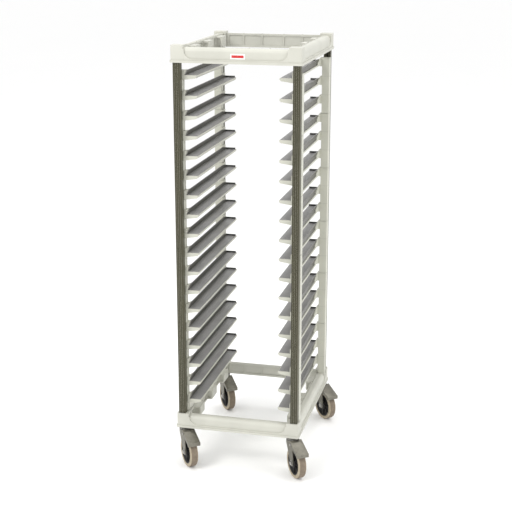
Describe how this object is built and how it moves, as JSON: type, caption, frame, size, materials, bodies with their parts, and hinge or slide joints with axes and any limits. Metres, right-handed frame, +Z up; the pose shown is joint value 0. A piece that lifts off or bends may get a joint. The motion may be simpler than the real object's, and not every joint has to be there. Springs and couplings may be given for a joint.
{
  "type": "sheet pan rack",
  "caption": "Mobile bakery rack: moulded top and bottom frames on four dark posts, side ladders with tray ledges, and swivel casters with foot brakes.",
  "frame": {"origin": "on the floor, under the centre of the box round the whole rack with its casters as they stand", "axes": "+Z up; -Y out of the open front, where trays go in; +X to the right as seen from the front"},
  "size_m": [0.5604, 0.7225, 1.68],
  "materials": {
    "frame_plastic": "pale warm grey moulded plastic, fine grain",
    "module_plastic": "pale grey-green moulded plastic, fine grain",
    "post_metal": "dark anodised extrusion with fine lengthwise lines",
    "rail_plastic": "mid grey moulded plastic, fine texture",
    "label_plastic": "red plate with a white edge, no text",
    "screw_steel": "zinc plated",
    "caster_steel": "pressed steel, zinc plated and dulled",
    "hub_plastic": "black moulded wheel centre",
    "tread_rubber": "beige-brown tread with paler shoulders"
  },
  "bodies": {
    "frame": {"top_front_beam": "frame_plastic", "top_rear_beam": "frame_plastic", "top_left_beam": "frame_plastic", "top_right_beam": "frame_plastic", "bottom_front_beam": "frame_plastic", "bottom_rear_beam": "frame_plastic", "bottom_left_beam": "frame_plastic", "bottom_right_beam": "frame_plastic", "top_corner_fl": "frame_plastic", "top_corner_fr": "frame_plastic", "top_corner_rl": "frame_plastic", "top_corner_rr": "frame_plastic", "bottom_corner_fl": "frame_plastic", "bottom_corner_fr": "frame_plastic", "bottom_corner_rl": "frame_plastic", "bottom_corner_rr": "frame_plastic", "post_fl": "post_metal", "post_fr": "post_metal", "post_rl": "post_metal", "post_rr": "post_metal", "left_module_1": "module_plastic", "left_module_2": "module_plastic", "left_module_3": "module_plastic", "left_module_4": "module_plastic", "left_module_5": "module_plastic", "left_module_6": "module_plastic", "right_module_1": "module_plastic", "right_module_2": "module_plastic", "right_module_3": "module_plastic", "right_module_4": "module_plastic", "right_module_5": "module_plastic", "right_module_6": "module_plastic", "left_rails": "rail_plastic", "right_rails": "rail_plastic", "label_plate": "label_plastic", "frame_screws": "screw_steel", "caster_stem_fl": "caster_steel", "caster_stem_fr": "caster_steel", "caster_stem_rl": "caster_steel", "caster_stem_rr": "caster_steel"},
    "caster_fl": {"caster_fork_fl": "caster_steel", "caster_pins_fl": "screw_steel"},
    "pedal_fl": {"brake_pedal_fl": "caster_steel"},
    "wheel_fl": {"wheel_hub_fl": "hub_plastic", "tyre_fl": "tread_rubber"},
    "caster_fr": {"caster_fork_fr": "caster_steel", "caster_pins_fr": "screw_steel"},
    "pedal_fr": {"brake_pedal_fr": "caster_steel"},
    "wheel_fr": {"wheel_hub_fr": "hub_plastic", "tyre_fr": "tread_rubber"},
    "caster_rl": {"caster_fork_rl": "caster_steel", "caster_pins_rl": "screw_steel"},
    "pedal_rl": {"brake_pedal_rl": "caster_steel"},
    "wheel_rl": {"wheel_hub_rl": "hub_plastic", "tyre_rl": "tread_rubber"},
    "caster_rr": {"caster_fork_rr": "caster_steel", "caster_pins_rr": "screw_steel"},
    "pedal_rr": {"brake_pedal_rr": "caster_steel"},
    "wheel_rr": {"wheel_hub_rr": "hub_plastic", "tyre_rr": "tread_rubber"}
  },
  "joints": [
    {"name": "caster_swivel_fl", "type": "hinge", "parent": "frame", "child": "caster_fl", "pos_m": [-0.24948, -0.26545, 0.15], "axis": [0, 0, 1], "continuous": true},
    {"name": "wheel_spin_fl", "type": "hinge", "parent": "caster_fl", "child": "wheel_fl", "pos_m": [-0.2254, -0.2974, 0.0625], "axis": [0.7986, 0.6018, 0], "continuous": true},
    {"name": "brake_pedal_fl", "type": "hinge", "parent": "caster_fl", "child": "pedal_fl", "pos_m": [-0.22901, -0.29261, 0.138], "axis": [0.7986, 0.6018, 0], "range_deg": [0, 6]},
    {"name": "caster_swivel_fr", "type": "hinge", "parent": "frame", "child": "caster_fr", "pos_m": [0.19253, -0.26545, 0.15], "axis": [0, 0, 1], "continuous": true},
    {"name": "wheel_spin_fr", "type": "hinge", "parent": "caster_fr", "child": "wheel_fr", "pos_m": [0.21604, -0.29781, 0.0625], "axis": [0.809, 0.5878, 0], "continuous": true},
    {"name": "brake_pedal_fr", "type": "hinge", "parent": "caster_fr", "child": "pedal_fr", "pos_m": [0.21251, -0.29296, 0.138], "axis": [0.809, 0.5878, 0], "range_deg": [0, 6]},
    {"name": "caster_swivel_rl", "type": "hinge", "parent": "frame", "child": "caster_rl", "pos_m": [-0.24948, 0.33055, 0.15], "axis": [0, 0, 1], "continuous": true},
    {"name": "wheel_spin_rl", "type": "hinge", "parent": "caster_rl", "child": "wheel_rl", "pos_m": [-0.22596, 0.29819, 0.0625], "axis": [0.809, 0.5878, 0], "continuous": true},
    {"name": "brake_pedal_rl", "type": "hinge", "parent": "caster_rl", "child": "pedal_rl", "pos_m": [-0.22949, 0.30304, 0.138], "axis": [0.809, 0.5878, 0], "range_deg": [0, 6]},
    {"name": "caster_swivel_rr", "type": "hinge", "parent": "frame", "child": "caster_rr", "pos_m": [0.19253, 0.33055, 0.15], "axis": [0, 0, 1], "continuous": true},
    {"name": "wheel_spin_rr", "type": "hinge", "parent": "caster_rr", "child": "wheel_rr", "pos_m": [0.22031, 0.30178, 0.0625], "axis": [0.7193, 0.6947, 0], "continuous": true},
    {"name": "brake_pedal_rr", "type": "hinge", "parent": "caster_rr", "child": "pedal_rr", "pos_m": [0.21614, 0.30609, 0.138], "axis": [0.7193, 0.6947, 0], "range_deg": [0, 6]}
  ]
}
